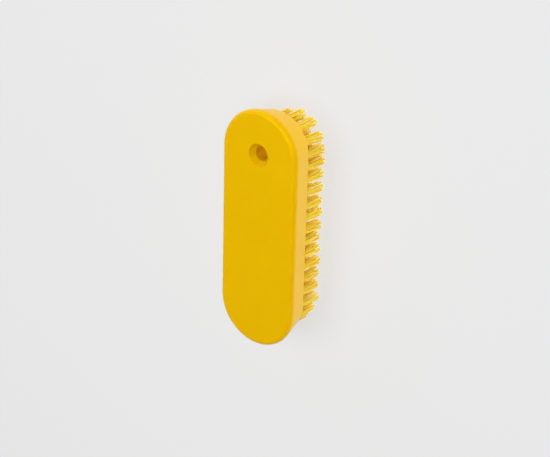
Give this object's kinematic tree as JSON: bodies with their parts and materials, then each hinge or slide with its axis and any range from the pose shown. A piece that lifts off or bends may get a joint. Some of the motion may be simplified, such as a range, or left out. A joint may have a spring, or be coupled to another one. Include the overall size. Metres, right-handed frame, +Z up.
{
  "type": "nail brush",
  "caption": "Nail brush: a rounded oblong moulded block with a hanging hole through one end and a field of stiff bristle tufts trimmed flat.",
  "frame": {"origin": "under the middle of the block, in the plane of the bristle tips that it rests on", "axes": "+X along the block towards the hanging hole, +Y across it, +Z up out of the back face"},
  "size_m": [0.12, 0.0428, 0.0282],
  "materials": {
    "block": "satin moulded polypropylene",
    "bristle": "stiff drawn polyester filament",
    "anchor": "flat rolled wire"
  },
  "bodies": {
    "root": {"anchors_head_inner": "anchor", "anchors_head_outer": "anchor", "anchors_row_01": "anchor", "anchors_row_02": "anchor", "anchors_row_03": "anchor", "anchors_row_04": "anchor", "anchors_row_05": "anchor", "anchors_row_06": "anchor", "anchors_row_07": "anchor", "anchors_row_08": "anchor", "anchors_row_09": "anchor", "anchors_row_10": "anchor", "anchors_row_11": "anchor", "anchors_row_12": "anchor", "anchors_row_13": "anchor", "anchors_row_14": "anchor", "anchors_row_15": "anchor", "anchors_row_16": "anchor", "anchors_row_17": "anchor", "anchors_row_18": "anchor", "anchors_row_19": "anchor", "anchors_row_20": "anchor", "anchors_row_21": "anchor", "anchors_row_22": "anchor", "anchors_row_23": "anchor", "anchors_row_24": "anchor", "anchors_row_25": "anchor", "anchors_tail_inner": "anchor", "anchors_tail_outer": "anchor", "handle_block": "block", "tufts_head_inner": "bristle", "tufts_head_outer": "bristle", "tufts_row_01": "bristle", "tufts_row_02": "bristle", "tufts_row_03": "bristle", "tufts_row_04": "bristle", "tufts_row_05": "bristle", "tufts_row_06": "bristle", "tufts_row_07": "bristle", "tufts_row_08": "bristle", "tufts_row_09": "bristle", "tufts_row_10": "bristle", "tufts_row_11": "bristle", "tufts_row_12": "bristle", "tufts_row_13": "bristle", "tufts_row_14": "bristle", "tufts_row_15": "bristle", "tufts_row_16": "bristle", "tufts_row_17": "bristle", "tufts_row_18": "bristle", "tufts_row_19": "bristle", "tufts_row_20": "bristle", "tufts_row_21": "bristle", "tufts_row_22": "bristle", "tufts_row_23": "bristle", "tufts_row_24": "bristle", "tufts_row_25": "bristle", "tufts_tail_inner": "bristle", "tufts_tail_outer": "bristle"}
  },
  "joints": []
}
